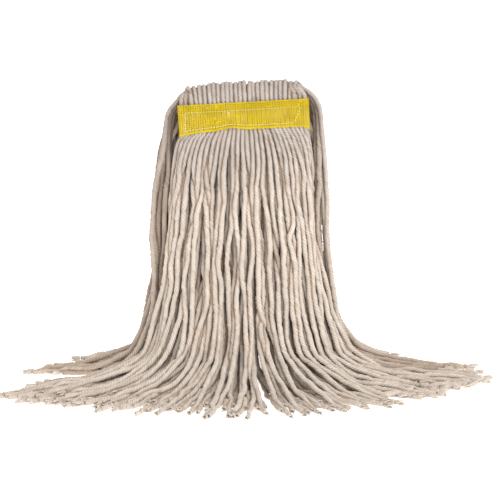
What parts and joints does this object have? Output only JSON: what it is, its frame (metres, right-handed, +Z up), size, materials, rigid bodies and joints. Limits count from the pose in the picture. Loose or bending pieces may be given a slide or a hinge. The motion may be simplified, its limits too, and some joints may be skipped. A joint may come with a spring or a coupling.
{
  "type": "string mop head",
  "caption": "Cut-end cotton string mop head with a narrow mesh headband, standing on its splayed yarns.",
  "frame": {"origin": "on the floor, under the middle of the bounding box, so under the splayed ends of the yarns", "axes": "+X along the headband to the right as its front face is seen, -Y out of the front face of the headband, +Z up"},
  "size_m": [0.55, 0.3366, 0.3483],
  "materials": {
    "cotton_yarn": "matte, undyed 4-ply cotton yarn",
    "headband_tape": "matte, open-mesh woven tape",
    "sewing_thread": "matte, spun polyester thread"
  },
  "bodies": {
    "headband": {"headband_front_tape": "headband_tape", "headband_back_tape": "headband_tape", "sewn_yarn_layer": "cotton_yarn", "crown_fold_1": "cotton_yarn", "crown_fold_2": "cotton_yarn", "crown_fold_3": "cotton_yarn", "crown_fold_4": "cotton_yarn", "crown_fold_5": "cotton_yarn", "crown_fold_6": "cotton_yarn", "crown_fold_7": "cotton_yarn", "crown_end_left": "cotton_yarn", "crown_end_right": "cotton_yarn", "needle_thread_top": "sewing_thread", "needle_thread_bottom": "sewing_thread", "needle_thread_left": "sewing_thread", "needle_thread_right": "sewing_thread", "bobbin_thread_top": "sewing_thread", "bobbin_thread_bottom": "sewing_thread", "bobbin_thread_left": "sewing_thread", "bobbin_thread_right": "sewing_thread"},
    "front_fall": {"front_hank_1": "cotton_yarn", "front_hank_2": "cotton_yarn", "front_hank_3": "cotton_yarn", "front_hank_4": "cotton_yarn", "front_hank_5": "cotton_yarn", "front_hank_6": "cotton_yarn", "front_hank_7": "cotton_yarn"},
    "back_fall": {"back_hank_1": "cotton_yarn", "back_hank_2": "cotton_yarn", "back_hank_3": "cotton_yarn", "back_hank_4": "cotton_yarn", "back_hank_5": "cotton_yarn", "back_hank_6": "cotton_yarn", "back_hank_7": "cotton_yarn"},
    "left_fall": {"left_hank_1": "cotton_yarn", "left_hank_2": "cotton_yarn", "left_hank_3": "cotton_yarn"},
    "right_fall": {"right_hank_1": "cotton_yarn", "right_hank_2": "cotton_yarn", "right_hank_3": "cotton_yarn"}
  },
  "joints": [
    {"name": "front_fall_swing", "type": "hinge", "parent": "headband", "child": "front_fall", "pos_m": [-0.007, 0.016, 0.2895], "axis": [-1, 0, 0], "range_deg": [0, 45]},
    {"name": "back_fall_swing", "type": "hinge", "parent": "headband", "child": "back_fall", "pos_m": [-0.007, 0.0628, 0.3235], "axis": [1, 0, 0], "range_deg": [0, 45]},
    {"name": "left_fall_swing", "type": "hinge", "parent": "headband", "child": "left_fall", "pos_m": [-0.0905, 0.04, 0.31886], "axis": [0, 1, 0], "range_deg": [0, 45]},
    {"name": "right_fall_swing", "type": "hinge", "parent": "headband", "child": "right_fall", "pos_m": [0.0785, 0.04, 0.32831], "axis": [0, -1, 0], "range_deg": [0, 45]}
  ]
}
